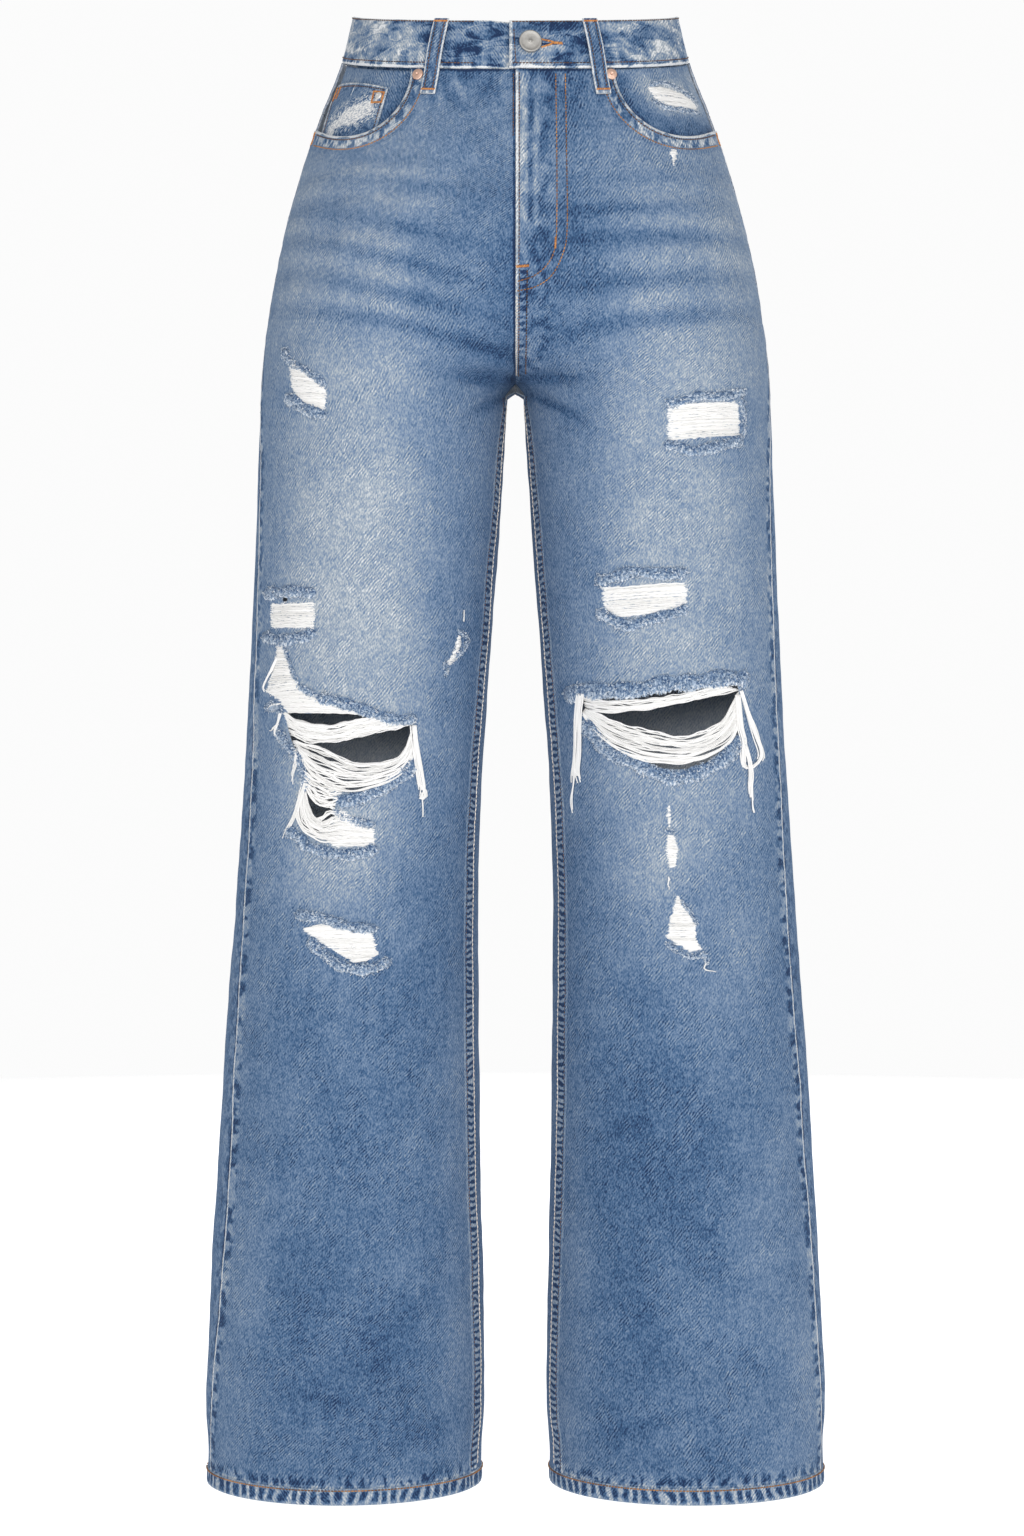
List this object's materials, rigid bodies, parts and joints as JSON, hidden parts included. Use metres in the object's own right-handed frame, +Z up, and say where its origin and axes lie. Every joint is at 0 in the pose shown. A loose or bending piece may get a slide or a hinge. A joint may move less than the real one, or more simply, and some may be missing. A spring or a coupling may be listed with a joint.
{
  "type": "ripped wide-leg jeans, worn",
  "caption": "High-waisted wide-leg blue jeans in their worn, hollow form, with frayed rips at the thighs, knees and shins, open at waist and hems.",
  "frame": {"origin": "the middle of the waist, level with the waistband's top edge at the side seams, where the wearer holds the garment up", "axes": "+Z up towards the waist, -Y out of the front, -X towards the wearer's right"},
  "size_m": [0.4572, 0.2474, 1.0918],
  "materials": {
    "denim": "washed blue cotton twill, faded on the thighs, with contrast seams",
    "white_thread": "bare white cotton weft, frayed",
    "frayed_warp": "rolled, frayed ends of the blue warp",
    "pocketing": "plain white cotton pocketing",
    "zip_tape": "woven cotton zip tape",
    "zip_metal": "plain brass",
    "button_metal": "satin nickel, lightly worn",
    "rivet_metal": "plain copper"
  },
  "bodies": {
    "root": {"front_panel_right": "denim", "front_panel_left": "denim", "back_panel_right": "denim", "back_panel_left": "denim", "back_yoke_right": "denim", "back_yoke_left": "denim", "waistband": "denim", "pocket_facing_right": "denim", "pocket_facing_left": "denim", "coin_pocket": "denim", "pocket_bag_right": "pocketing", "pocket_bag_left": "pocketing", "back_pocket_right": "denim", "back_pocket_left": "denim", "belt_loop_front_right": "denim", "belt_loop_front_left": "denim", "belt_loop_back_right": "denim", "belt_loop_back_left": "denim", "belt_loop_back_centre": "denim", "hem_right": "denim", "hem_left": "denim", "zip_tape": "zip_tape", "zip_slider": "zip_metal", "waist_button": "button_metal", "rivet_pocket_right": "rivet_metal", "rivet_pocket_left": "rivet_metal", "rivet_coin": "rivet_metal", "tassel_right_inner": "white_thread", "tassel_left_inner": "white_thread", "tassel_left_outer": "white_thread", "knee_fringe_right": "frayed_warp", "knee_fringe_left": "frayed_warp"}
  },
  "joints": []
}
